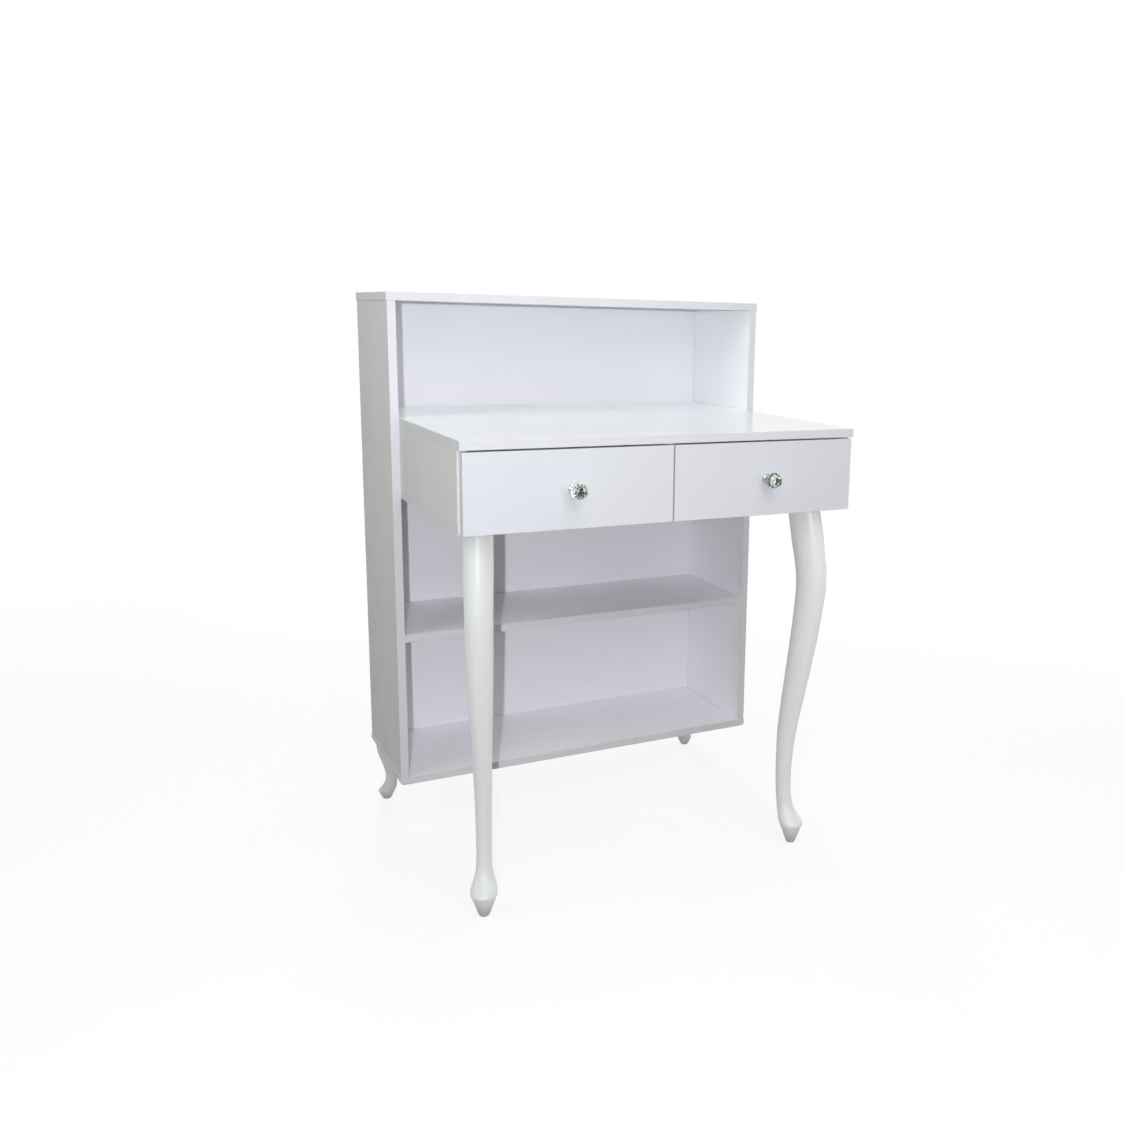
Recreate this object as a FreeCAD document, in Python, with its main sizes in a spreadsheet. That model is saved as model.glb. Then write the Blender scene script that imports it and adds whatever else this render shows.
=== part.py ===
import FreeCAD, Part
import os
import re

# Reception desk: a tall open carcass with a worktop, two drawers side by side under the worktop,
# two long curved legs in front and two short curved feet behind.
# X runs along the desk, the drawers face -Y, Z is up and the floor is at Z = 0.
# The origin is under the middle of the desk. All sizes are in millimetres.

dimensions = {
    # boards and carcass
    "board": 16,
    "carcass_width": 800,
    "carcass_depth": 275,
    "side_height": 947,
    "cap_lip": 1.5,
    "end_round": 8,
    "foot_height": 134,
    "shelf_rise": 281,
    "shelf_setback": 4,
    # worktop and drawer case
    "worktop_height": 878,
    "overhang": 407,
    "case_height": 140,
    "front_gap": 1,
    "front_reveal": 4,
    "front_parting": 3,
    "front_top_gap": 3,
    # drawer boxes
    "box_board": 12,
    "box_below": 10,
    "box_above": 24,
    "bottom_sheet": 3,
    "bottom_rise": 8,
    "groove_depth": 5,
    "groove_fit": 0.2,
    # telescopic runners
    "runner_length": 450,
    "runner_height": 45,
    "runner_thickness": 12.7,
    "runner_wall": 1.2,
    "runner_play": 0.3,
    "runner_flange": 8.5,
    "runner_head_room": 2.6,
    # knobs
    "knob_base_length": 15,
    "knob_foot_diameter": 18,
    "knob_foot_thickness": 2.5,
    "knob_neck_diameter": 9,
    "knob_cup_diameter": 17,
    "knob_cup_thickness": 4,
    "crystal_diameter": 30,
    "crystal_length": 27,
    "crystal_back_diameter": 16,
    "crystal_table_diameter": 17,
    "crystal_girdle": 12,
    # dowels and screws
    "dowel_diameter": 8,
    "dowel_length": 30,
    "dowel_seat": 10,
    "dowel_spare": 1,
    "dowel_inset": 40,
    "bore_fit": 0.1,
    "wood_screw_diameter": 4,
    "wood_screw_head": 8,
    "wood_screw_head_height": 2.4,
    "case_screw_length": 28,
    "case_screw_inset": 60,
    "case_screw_drop": 20,
    "frame_screw_diameter": 6,
    "frame_screw_head": 10,
    "frame_screw_head_height": 4,
    "frame_screw_length": 50,
    "frame_screw_inset": 30,
    "runner_screw_diameter": 3.5,
    "runner_screw_head": 7,
    "runner_screw_head_height": 1.8,
    "runner_screw_length": 11,
    "runner_screw_inset": 50,
    "runner_screw_stagger": 25,
    "front_screw_length": 24,
    "front_screw_inset": 30,
    "front_screw_drop": 20,
    "box_screw_diameter": 3.5,
    "box_screw_head": 7,
    "box_screw_head_height": 2,
    "box_screw_length": 35,
    "box_screw_drop": 22,
    "knob_screw_diameter": 4,
    "knob_screw_head": 8,
    "knob_screw_head_height": 2.6,
    "knob_screw_grip": 8,
    # leg fixings
    "bolt_diameter": 8,
    "bolt_wood_length": 40,
    "bolt_nut_length": 12,
    "nut_diameter": 12,
    "nut_length": 13,
    "glide_diameter": 17,
    "glide_height": 3,
    "nail_diameter": 2,
    "nail_length": 14,
    # long front legs, with heights from the floor and offsets towards the toe
    "leg_inset": 69.5,
    "leg_setback": 82,
    "leg_splay": 20,
    "leg_top_offset": 0,
    "leg_top_depth": 72,
    "leg_top_width": 52,
    "leg_knee_drop": 150,
    "leg_knee_offset": 26,
    "leg_knee_depth": 66,
    "leg_knee_width": 49,
    "leg_shin_height": 398,
    "leg_shin_offset": 6,
    "leg_shin_depth": 55,
    "leg_shin_width": 41,
    "leg_calf_height": 248,
    "leg_calf_offset": -19,
    "leg_calf_depth": 43,
    "leg_calf_width": 32,
    "leg_ankle_height": 123,
    "leg_ankle_offset": -24.5,
    "leg_ankle_depth": 33,
    "leg_ankle_width": 28,
    "leg_heel_height": 80,
    "leg_heel_offset": -20,
    "leg_heel_depth": 34,
    "leg_heel_width": 31,
    "leg_instep_height": 60,
    "leg_instep_offset": -10,
    "leg_instep_depth": 43,
    "leg_instep_width": 42,
    "leg_rim_height": 42,
    "leg_rim_diameter": 49,
    "leg_tip_diameter": 20,
    # short rear feet, measured the same way
    "foot_inset": 24,
    "foot_back_inset": 21,
    "foot_splay": 45,
    "foot_top_offset": 0,
    "foot_top_depth": 39,
    "foot_top_width": 39,
    "foot_knee_drop": 34,
    "foot_knee_offset": -5.5,
    "foot_knee_depth": 36.6,
    "foot_knee_width": 36,
    "foot_ankle_height": 54,
    "foot_ankle_offset": -13.2,
    "foot_ankle_depth": 24.4,
    "foot_ankle_width": 23.6,
    "foot_instep_height": 32,
    "foot_instep_offset": -8,
    "foot_instep_depth": 31,
    "foot_instep_width": 30.6,
    "foot_rim_height": 19.5,
    "foot_rim_diameter": 36.4,
    "foot_tip_diameter": 21,
}

# Places worked out from the driving dimensions
places = {
    "knob_reach": "knob_base_length + crystal_length",
    "carcass_front": "(overhang + knob_reach - carcass_depth) / 2",
    "carcass_back": "carcass_front + carcass_depth",
    "back_face": "carcass_back - board",
    "desk_front": "carcass_front - overhang",
    "inner_half": "carcass_width / 2 - board",
    "carcass_floor": "foot_height + board",
    "carcass_ceiling": "carcass_floor + side_height",
    "shelf_under": "carcass_floor + shelf_rise",
    "worktop_under": "worktop_height - board",
    "case_under": "worktop_under - case_height",
    "case_floor": "case_under + board",
    "case_front": "desk_front + board + front_gap",
    "front_width": "(2 * inner_half - 2 * front_reveal - front_parting) / 2",
    "front_height": "case_height - front_top_gap",
    "bay_width": "inner_half - 1.5 * board",
    "bay_middle": "(inner_half - board / 2) / 2",
    "box_width": "bay_width - 2 * runner_thickness",
    "box_under": "case_floor + box_below",
    "box_height": "case_height - board - box_below - box_above",
    "box_front": "desk_front + board",
    "box_back": "box_front + runner_length",
    "sheet_under": "box_under + bottom_rise",
    "runner_level": "box_under + box_height / 2",
    "knob_level": "case_under + front_height / 2",
    "knob_offset": "front_parting / 2 + front_width / 2",
    "leg_axis": "carcass_width / 2 - leg_inset",
    "leg_line": "desk_front + leg_setback",
    "foot_axis": "carcass_width / 2 - foot_inset",
    "foot_line": "carcass_back - foot_back_inset",
}

turns = {
    "+x": FreeCAD.Rotation(FreeCAD.Vector(0, 1, 0), 90),
    "-x": FreeCAD.Rotation(FreeCAD.Vector(0, 1, 0), -90),
    "+y": FreeCAD.Rotation(FreeCAD.Vector(1, 0, 0), -90),
    "-y": FreeCAD.Rotation(FreeCAD.Vector(1, 0, 0), 90),
    "+z": FreeCAD.Rotation(FreeCAD.Vector(0, 0, 1), 0),
    "-z": FreeCAD.Rotation(FreeCAD.Vector(1, 0, 0), 180),
}

doc = FreeCAD.newDocument("reception_desk")
sheet = doc.addObject("Spreadsheet::Sheet", "dims")
for row, (alias, value) in enumerate(dimensions.items(), start=1):
    sheet.set(f"A{row}", str(value))
    sheet.setAlias(f"A{row}", alias)
doc.recompute()

nodes = {}
tools = {}


def expression(text):
    # Turns the names of dimensions and places in a formula into references to the sheet
    def swap(match):
        word = match.group()
        if word in places:
            return f"({expression(places[word])})"
        return f"dims.{word}" if word in dimensions else word
    return re.sub(r"[a-z_]+", swap, text)


def bind(item, **formulas):
    for name, formula in formulas.items():
        item.setExpression(name, expression(formula))


def put(item, x, y, z):
    for axis, formula in zip("xyz", (x, y, z)):
        item.setExpression(f"Placement.Base.{axis}", expression(formula))


def keep(name, item):
    # Registers a finished sub-part under its own name
    item.Label = name
    nodes[name] = item
    return item


def box(x, y, z):
    # Each argument is a start and a size
    item = doc.addObject("Part::Box", "box")
    bind(item, Length=x[1], Width=y[1], Height=z[1])
    put(item, x[0], y[0], z[0])
    return item


def along(point, direction, distance):
    axis = "xyz".index(direction[1])
    moved = list(point)
    moved[axis] = f"({point[axis]}) {direction[0]} ({distance})"
    return moved


def rod(radius, start, direction, length):
    item = doc.addObject("Part::Cylinder", "rod")
    item.Placement.Rotation = turns[direction]
    bind(item, Radius=radius, Height=length)
    put(item, *start)
    return item


def cone(first, second, start, direction, length):
    item = doc.addObject("Part::Cone", "cone")
    item.Placement.Rotation = turns[direction]
    bind(item, Radius1=first, Radius2=second, Height=length)
    put(item, *start)
    return item


def fuse(items):
    item = doc.addObject("Part::MultiFuse", "fuse")
    item.Shapes = items
    return item


def group(items):
    item = doc.addObject("Part::Compound", "group")
    item.Links = items
    return item


def cut(base, cutters):
    if not cutters:
        return base
    item = doc.addObject("Part::Cut", "cut")
    item.Base = base
    item.Tool = cutters[0] if len(cutters) == 1 else fuse(cutters)
    return item


def drill(cutter, *boards):
    # Remembers a bore for every board that it passes through
    for name in boards:
        tools.setdefault(name, []).append(cutter)


def board(name, x, y, z, extra=()):
    keep(name, cut(box(x, y, z), list(extra) + tools.get(name, [])))


def dowel(point, direction, *boards):
    # The joint's plane passes through the point, and the long end runs along the direction
    seat = along(point, direction, "-dowel_seat")
    bore_start = along(seat, direction, "-dowel_spare")
    bore_length = "dowel_length + 2 * dowel_spare"
    drill(rod("dowel_diameter / 2 + bore_fit", bore_start, direction, bore_length), *boards)
    return rod("dowel_diameter / 2", seat, direction, "dowel_length")


def screw(kind, length, point, direction, sunk, *boards):
    # The head lies on the board at the point, or in it where it is sunk, and the shank runs on from there
    head_start = point if sunk else along(point, direction, f"-{kind}_head_height")
    reach = f"{length} + bore_fit"
    cutters = [rod(f"{kind}_diameter / 2 + bore_fit", point, direction, reach)]
    if sunk:
        sink = f"{kind}_head_height + bore_fit"
        cutters.append(rod(f"{kind}_head / 2 + bore_fit", point, direction, sink))
    drill(fuse(cutters) if sunk else cutters[0], *boards)
    head = rod(f"{kind}_head / 2", head_start, direction, f"{kind}_head_height")
    return fuse([head, rod(f"{kind}_diameter / 2", point, direction, length)])


def span(sign, wall, start, size):
    # A stretch that starts some way from a wall and runs to the right (+) or to the left (-) of it
    if sign == "+":
        return f"({wall}) + ({start})", size
    return f"({wall}) - ({start}) - ({size})", size


sides = {"left": "-", "right": "+"}
other = {"-": "+", "+": "-"}

# Dowels of the carcass: side panels in the caps, shelf and back panel between the sides
dowels = []
for side, sign in sides.items():
    panel = f"{side}_side_panel"
    middle = f"{sign}(carcass_width / 2 - board / 2)"
    inner = f"{sign}inner_half"
    inward = other[sign] + "x"
    outward = sign + "x"
    for y in ("carcass_front + dowel_inset", "back_face - dowel_inset"):
        dowels.append(dowel((middle, y, "carcass_floor"), "+z", panel, "bottom_panel"))
        dowels.append(dowel((middle, y, "carcass_ceiling"), "-z", panel, "top_panel"))
        dowels.append(dowel((inner, y, "shelf_under + board / 2"), inward, panel, "middle_shelf"))
    for z in ("carcass_floor + dowel_inset", "shelf_under - dowel_inset", "carcass_ceiling - dowel_inset"):
        dowels.append(dowel((inner, "back_face + board / 2", z), inward, panel, "back_panel"))

# Dowels between the worktop and the walls of the drawer case
case_walls = {
    "case_left_side": "-(inner_half - board / 2)",
    "case_divider": "0",
    "case_right_side": "inner_half - board / 2",
}
for wall, x in case_walls.items():
    for y in ("case_front + dowel_inset", "carcass_front - dowel_inset", "back_face - dowel_inset"):
        dowels.append(dowel((x, y, "worktop_under"), "-z", wall, "worktop"))
keep("wooden_dowels", group(dowels))

# Screws of the drawer case: into the carcass sides, and up through its bottom board
case_screws = []
for side, sign in sides.items():
    face = f"{sign}(inner_half - board)"
    for y in ("carcass_front + case_screw_inset", "back_face - case_screw_inset"):
        for z in ("case_floor + case_screw_drop", "worktop_under - case_screw_drop"):
            case_screws.append(screw(
                "wood_screw", "case_screw_length", (face, y, z), sign + "x", True,
                f"case_{side}_side", f"{side}_side_panel",
            ))
keep("case_side_screws", group(case_screws))

frame_screws = []
for wall, x in case_walls.items():
    for y in ("case_front + frame_screw_inset", "carcass_front", "back_face - frame_screw_inset"):
        frame_screws.append(screw(
            "frame_screw", "frame_screw_length", (x, y, "case_under"), "+z", True, wall, "case_bottom",
        ))
keep("case_bottom_screws", group(frame_screws))


def section(part, station, height):
    # An oval section of a leg, long in the plane of its curve
    item = doc.addObject("Part::Ellipse", "section")
    bind(item, MajorRadius=f"{part}_{station}_depth / 2", MinorRadius=f"{part}_{station}_width / 2")
    put(item, f"{part}_{station}_offset", "0", height)
    return item


def leg(name, part, top, stations, axis, line, turn):
    # A curved leg in its own plane, then turned to its corner: smooth sections down to the rim of
    # the toe, and a cone from the rim to the tip
    sections = [section(part, "top", top)]
    for station, height in stations:
        sections.append(section(part, station, height))
    rim = doc.addObject("Part::Ellipse", "rim")
    bind(rim, MajorRadius=f"{part}_rim_diameter / 2", MinorRadius=f"{part}_rim_diameter / 2")
    put(rim, "0", "0", f"{part}_rim_height")
    loft = doc.addObject("Part::Loft", "loft")
    loft.Sections = sections + [rim]
    loft.Solid = True
    loft.MaxDegree = 3
    tip = cone(
        f"{part}_tip_diameter / 2", f"{part}_rim_diameter / 2",
        ("0", "0", "glide_height"), "+z", f"{part}_rim_height - glide_height",
    )
    bolt_hole = rod(
        "bolt_diameter / 2 + bore_fit",
        (f"{part}_top_offset", "0", f"{top} - bolt_wood_length - dowel_spare"),
        "+z",
        "bolt_wood_length + dowel_spare + board",
    )
    nail_hole = rod(
        "nail_diameter / 2 + bore_fit", ("0", "0", "0"), "+z", "glide_height + nail_length + dowel_spare",
    )
    item = keep(name, cut(fuse([loft, tip]), [bolt_hole, nail_hole]))
    item.Placement.Rotation = FreeCAD.Rotation(FreeCAD.Vector(0, 0, 1), 1)
    item.setExpression("Placement.Rotation.Angle", expression(turn))
    put(item, axis, line, "0")


leg_stations = (
    ("knee", "case_under - leg_knee_drop"),
    ("shin", "leg_shin_height"),
    ("calf", "leg_calf_height"),
    ("ankle", "leg_ankle_height"),
    ("heel", "leg_heel_height"),
    ("instep", "leg_instep_height"),
)
foot_stations = (
    ("knee", "foot_height - foot_knee_drop"),
    ("ankle", "foot_ankle_height"),
    ("instep", "foot_instep_height"),
)

# The toes point forwards and a little outwards in front, and to the corners behind
bolts = []
nuts = []
glides = []
for side, sign in sides.items():
    legs = (
        ("front_leg", "leg", "case_under", leg_stations, "leg_axis", "leg_line",
         f"-90 {sign} leg_splay", "case_bottom"),
        ("rear_foot", "foot", "foot_height", foot_stations, "foot_axis", "foot_line",
         f"90 {other[sign]} foot_splay", "bottom_panel"),
    )
    for kind, part, top, stations, axis, line, turn, carrier in legs:
        x = f"{sign}({axis})"
        leg(f"{side}_{kind}", part, top, stations, x, line, turn)
        top_x = f"{x} + {part}_top_offset * cos({turn})"
        top_y = f"{line} + {part}_top_offset * sin({turn})"
        head = (top_x, top_y, f"({top}) - bolt_wood_length")
        seat = (top_x, top_y, top)
        bolts.append(rod("bolt_diameter / 2", head, "+z", "bolt_wood_length + bolt_nut_length"))
        drill(rod("nut_diameter / 2 + bore_fit", seat, "+z", "nut_length + bore_fit"), carrier)
        bore = rod("bolt_diameter / 2 + bore_fit", seat, "+z", "nut_length")
        nuts.append(cut(rod("nut_diameter / 2", seat, "+z", "nut_length"), [bore]))
        foot = (x, line, "0")
        pad = rod("glide_diameter / 2", foot, "+z", "glide_height")
        glides.append(fuse([pad, rod("nail_diameter / 2", foot, "+z", "glide_height + nail_length")]))
keep("leg_hanger_bolts", group(bolts))
keep("leg_insert_nuts", group(nuts))
keep("floor_glides", group(glides))


def channel(wall, sign, start, web_start, depth, height, y):
    # A steel channel: two flanges with a web between them, measured out from a wall
    half = f"({height}) / 2"
    web = box(span(sign, wall, web_start, "runner_wall"), y, (f"runner_level - {half}", height))
    low = box(span(sign, wall, start, depth), y, (f"runner_level - {half}", "runner_wall"))
    high = box(span(sign, wall, start, depth), y, (f"runner_level + {half} - runner_wall", "runner_wall"))
    return fuse([web, low, high])


def runner(drawer, side, wall, sign, carrier, stagger):
    # Three telescopic members on one wall of a drawer's bay, with the screws of the outer and inner ones.
    # The screw heads lie inside the channels, clear of the middle member.
    name = f"{drawer}_drawer_{side}_runner"
    y = ("box_front + front_gap", "runner_length - front_gap")
    inner_height = "runner_height - 2 * (runner_wall + runner_play)"
    core_height = f"{inner_height} - 2 * (runner_wall + runner_play)"
    outer = channel(wall, sign, "0", "0", "runner_flange", "runner_height", y)
    middle = channel(
        wall, sign, "runner_wall + runner_play", "runner_wall + runner_head_room",
        "runner_flange", inner_height, y,
    )
    core_start = "2 * runner_wall + runner_head_room + runner_play"
    core = channel(
        wall, sign, core_start, "runner_thickness - runner_wall",
        f"runner_thickness - ({core_start})", core_height, y,
    )
    fixed = []
    moving = []
    box_side = f"{drawer}_drawer_{side}_side"
    outer_web = f"({wall}) {sign} runner_wall"
    inner_web = f"({wall}) {sign} (runner_thickness - runner_wall)"
    inset = f"runner_screw_inset + {stagger}"
    for y in (f"box_front + {inset}", f"box_back - ({inset})"):
        fixed.append(screw(
            "runner_screw", "runner_screw_length", (outer_web, y, "runner_level"), other[sign] + "x", False,
            carrier, f"{name}_outer",
        ))
        moving.append(screw(
            "runner_screw", "runner_screw_length", (inner_web, y, "runner_level"), sign + "x", False,
            box_side, f"{name}_inner",
        ))
    keep(f"{name}_outer", cut(outer, tools[f"{name}_outer"]))
    keep(f"{name}_middle", middle)
    keep(f"{name}_inner", cut(core, tools[f"{name}_inner"]))
    return fixed, moving


def knob(drawer, x):
    # A metal base on the drawer front with a faceted clear head in its cup
    face = (x, "desk_front", "knob_level")
    foot = rod("knob_foot_diameter / 2", face, "-y", "knob_foot_thickness")
    neck = rod("knob_neck_diameter / 2", face, "-y", "knob_base_length")
    rise = along(face, "-y", "knob_base_length - knob_cup_thickness")
    cup = cone("knob_neck_diameter / 2", "knob_cup_diameter / 2", rise, "-y", "knob_cup_thickness")
    keep(f"{drawer}_knob_base", cut(fuse([foot, neck, cup]), tools[f"{drawer}_knob_base"]))
    facets = []
    rings = (
        ("crystal_back_diameter", "knob_base_length"),
        ("crystal_diameter", "knob_base_length + crystal_girdle"),
        ("crystal_table_diameter", "knob_base_length + crystal_length"),
    )
    for diameter, distance in rings:
        ring = doc.addObject("Part::RegularPolygon", "ring")
        ring.Polygon = 12
        ring.Placement.Rotation = turns["-y"]
        bind(ring, Circumradius=f"{diameter} / 2")
        put(ring, *along(face, "-y", distance))
        facets.append(ring)
    crystal = doc.addObject("Part::Loft", "crystal")
    crystal.Sections = facets
    crystal.Solid = True
    crystal.Ruled = True
    keep(f"{drawer}_knob_crystal", crystal)


# Drawers: a box on runners behind an overlaid front with a knob
runner_screws = []
for drawer, sign in sides.items():
    centre = f"{sign}bay_middle"
    left_wall = f"{centre} - bay_width / 2"
    right_wall = f"{centre} + bay_width / 2"
    left_carrier = "case_left_side" if drawer == "left" else "case_divider"
    right_carrier = "case_right_side" if drawer == "right" else "case_divider"
    step = "runner_screw_stagger" if drawer == "left" else "0"
    fixed_left, moving_left = runner(drawer, "left", left_wall, "+", left_carrier, step)
    fixed_right, moving_right = runner(drawer, "right", right_wall, "-", right_carrier, step)
    runner_screws += fixed_left + fixed_right
    keep(f"{drawer}_drawer_runner_screws", group(moving_left + moving_right))

    # Screws through the box's corners, and from the box's front into the drawer front
    names = {piece: f"{drawer}_drawer_{piece}" for piece in
             ("front", "box_front", "back", "bottom", "left_side", "right_side")}
    corner_screws = []
    front_screws = []
    for side, way in sides.items():
        outer = f"{centre} {way} box_width / 2"
        inward = other[way] + "x"
        for y, end in (("box_front + box_board / 2", "box_front"), ("box_back - box_board / 2", "back")):
            for z in ("box_under + box_screw_drop", "box_under + box_height - box_screw_drop"):
                corner_screws.append(screw(
                    "box_screw", "box_screw_length", (outer, y, z), inward, True,
                    names[f"{side}_side"], names[end],
                ))
        x = f"{centre} {way} (box_width / 2 - box_board - front_screw_inset)"
        for z in ("box_under + front_screw_drop", "box_under + box_height - front_screw_drop"):
            front_screws.append(screw(
                "wood_screw", "front_screw_length", (x, "box_front + box_board", z), "-y", False,
                names["box_front"], names["front"],
            ))
    keep(f"{drawer}_drawer_box_screws", group(corner_screws))
    keep(f"{drawer}_drawer_front_screws", group(front_screws))

    # The knob's screw comes from inside the box
    knob_x = f"{sign}knob_offset"
    point = (knob_x, "box_front + box_board", "knob_level")
    length = "box_board + board + knob_screw_grip"
    boards = (names["box_front"], names["front"], f"{drawer}_knob_base")
    keep(f"{drawer}_knob_screw", screw("knob_screw", length, point, "-y", False, *boards))
    knob(drawer, knob_x)

    # Boards of the box, grooved for the thin bottom
    floor_of_groove = "box_board - groove_depth - groove_fit"
    groove = box(
        (f"{centre} - box_width / 2 + {floor_of_groove}", f"box_width - 2 * ({floor_of_groove})"),
        (f"box_front + {floor_of_groove}", f"runner_length - 2 * ({floor_of_groove})"),
        ("sheet_under", "bottom_sheet + groove_fit"),
    )
    whole_height = ("box_under", "box_height")
    whole_depth = ("box_front", "runner_length")
    inside = (f"{centre} - box_width / 2 + box_board", "box_width - 2 * box_board")
    front_start = {"-": "-front_parting / 2 - front_width", "+": "front_parting / 2"}[sign]
    front_rise = ("case_under", "front_height")
    board(names["front"], (front_start, "front_width"), ("desk_front", "board"), front_rise)
    board(names["box_front"], inside, ("box_front", "box_board"), whole_height, [groove])
    board(names["back"], inside, ("box_back - box_board", "box_board"), whole_height, [groove])
    for side, start in (("left", "-box_width / 2"), ("right", "box_width / 2 - box_board")):
        thickness = (f"{centre} + ({start})", "box_board")
        board(names[f"{side}_side"], thickness, whole_depth, whole_height, [groove])
    edge = "box_board - groove_depth"
    board(
        names["bottom"],
        (f"{centre} - box_width / 2 + {edge}", f"box_width - 2 * ({edge})"),
        (f"box_front + {edge}", f"runner_length - 2 * ({edge})"),
        ("sheet_under", "bottom_sheet"),
    )
keep("case_runner_screws", group(runner_screws))


def end_cutter(sign):
    # What the rounded lower edge takes off an end of the bottom panel
    end = f"{sign}(carcass_width / 2 + cap_lip)"
    corner = box(span(other[sign], end, "0", "end_round"), whole_y, ("foot_height", "end_round"))
    axis = along((end, "carcass_front", "foot_height + end_round"), other[sign] + "x", "end_round")
    return cut(corner, [rod("end_round", axis, "+y", "carcass_depth")])


# Boards of the carcass
cap_x = ("-(carcass_width / 2 + cap_lip)", "carcass_width + 2 * cap_lip")
whole_y = ("carcass_front", "carcass_depth")
between = ("-inner_half", "2 * inner_half")
board("top_panel", cap_x, whole_y, ("carcass_ceiling", "board"))
board("bottom_panel", cap_x, whole_y, ("foot_height", "board"), [end_cutter(sign) for sign in sides.values()])
board("left_side_panel", ("-carcass_width / 2", "board"), whole_y, ("carcass_floor", "side_height"))
board("right_side_panel", ("inner_half", "board"), whole_y, ("carcass_floor", "side_height"))
board("back_panel", between, ("back_face", "board"), ("carcass_floor", "side_height"))
board("middle_shelf", between, ("carcass_front + shelf_setback", "carcass_depth - board - shelf_setback"),
      ("shelf_under", "board"))

# Worktop and the boards of the drawer case, which reach back to the back panel
case_y = ("case_front", "back_face - (case_front)")
wall_z = ("case_floor", "case_height - board")
board("worktop", between, ("desk_front", "back_face - (desk_front)"), ("worktop_under", "board"))
board("case_left_side", ("-inner_half", "board"), case_y, wall_z)
board("case_right_side", ("inner_half - board", "board"), case_y, wall_z)
board("case_divider", ("-board / 2", "board"), case_y, wall_z)
board("case_bottom", between, case_y, ("case_under", "board"))

doc.recompute()
for item in doc.Objects:
    if "Invalid" in item.State or "Error" in item.State:
        raise RuntimeError(f"{item.Name} ({item.Label}) failed: {item.State}")
for name, item in nodes.items():
    if item.Shape.isNull() or not item.Shape.isValid():
        raise RuntimeError(f"{name} has no valid shape")

os.makedirs("parts", exist_ok=True)
for name, item in nodes.items():
    item.Shape.exportStep(f"parts/{name}.step")
print(len(nodes), "sub-parts written")
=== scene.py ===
import bpy
import bmesh
import math
from mathutils import Matrix, Vector


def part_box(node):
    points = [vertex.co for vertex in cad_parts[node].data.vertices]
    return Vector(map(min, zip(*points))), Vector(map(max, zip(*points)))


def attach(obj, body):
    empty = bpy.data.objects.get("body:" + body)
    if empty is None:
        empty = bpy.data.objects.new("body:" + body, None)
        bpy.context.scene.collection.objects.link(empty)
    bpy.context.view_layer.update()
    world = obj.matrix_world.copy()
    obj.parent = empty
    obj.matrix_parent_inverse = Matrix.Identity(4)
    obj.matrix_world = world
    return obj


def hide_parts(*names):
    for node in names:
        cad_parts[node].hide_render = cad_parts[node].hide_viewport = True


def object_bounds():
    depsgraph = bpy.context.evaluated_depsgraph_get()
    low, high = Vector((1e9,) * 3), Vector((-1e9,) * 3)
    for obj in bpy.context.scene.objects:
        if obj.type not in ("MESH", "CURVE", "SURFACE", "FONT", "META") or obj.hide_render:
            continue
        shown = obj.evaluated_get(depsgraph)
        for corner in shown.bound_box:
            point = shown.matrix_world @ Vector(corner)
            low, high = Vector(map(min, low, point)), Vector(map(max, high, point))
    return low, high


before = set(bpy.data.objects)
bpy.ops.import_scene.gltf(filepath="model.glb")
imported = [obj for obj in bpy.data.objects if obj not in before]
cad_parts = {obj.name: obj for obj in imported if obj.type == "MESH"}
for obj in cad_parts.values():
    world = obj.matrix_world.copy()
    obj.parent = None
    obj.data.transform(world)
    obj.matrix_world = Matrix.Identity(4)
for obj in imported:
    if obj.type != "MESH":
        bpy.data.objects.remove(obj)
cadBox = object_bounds()
mm = 0.001
near = 0.1 * mm  # places closer than this count as the same
sharp = 1.0  # radians, from which two faces meet in a corner
facing = 0.5  # share of a normal along an axis, from which a face looks that way
sides = ("left", "right")


# colour and node helpers

mixFactor, mixFirst, mixSecond, mixResult = 0, 6, 7, 2  # sockets of a Mix node that blends colours
noiseSpan = (0.3, 0.7)  # nearly all of a noise lies between these


def linear(hexColour):
    channels = [int(hexColour[i:i + 2], 16) / 255 for i in (1, 3, 5)]
    curve = [c / 12.92 if c <= 0.04045 else ((c + 0.055) / 1.055) ** 2.4 for c in channels]
    return (*curve, 1.0)


def addNode(tree, kind, inputs=None, **settings):
    node = tree.nodes.new("ShaderNode" + kind)
    for name, value in settings.items():
        setattr(node, name, value)
    for socket, value in (inputs or {}).items():
        if isinstance(value, bpy.types.NodeSocket):
            tree.links.new(value, node.inputs[socket])
        else:
            node.inputs[socket].default_value = value
    return node


def grain(size):  # a texture scale from a pattern's real size in millimetres
    return 1 / (size * mm)


def startMaterial(name, **constants):
    material = bpy.data.materials.new(name)
    material.use_nodes = True
    tree = material.node_tree
    shader = tree.nodes["Principled BSDF"]
    for socket, value in constants.items():
        shader.inputs[socket.replace("_", " ")].default_value = value
    place = addNode(tree, "TexCoord").outputs["Object"]
    return material, tree, shader, place


def dressShader(tree, shader, tone, colours, gloss, roughness, height=None, strength=0.0, depth=0.0):
    # tone blends two colours, gloss spreads the roughness, and height makes a bump, its depth in millimetres
    first, second = (linear(colour) for colour in colours)
    blend = addNode(tree, "Mix", {mixFactor: tone, mixFirst: first, mixSecond: second}, data_type="RGBA")
    spread = addNode(tree, "MapRange", {"Value": gloss, "From Min": noiseSpan[0], "From Max": noiseSpan[1],
                                        "To Min": roughness[0], "To Max": roughness[1]})
    tree.links.new(blend.outputs[mixResult], shader.inputs["Base Color"])
    tree.links.new(spread.outputs["Result"], shader.inputs["Roughness"])
    if height is not None:
        bump = addNode(tree, "Bump", {"Height": height, "Strength": strength, "Distance": depth * mm})
        tree.links.new(bump.outputs["Normal"], shader.inputs["Normal"])


# materials: pattern sizes and depths are in millimetres

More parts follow.
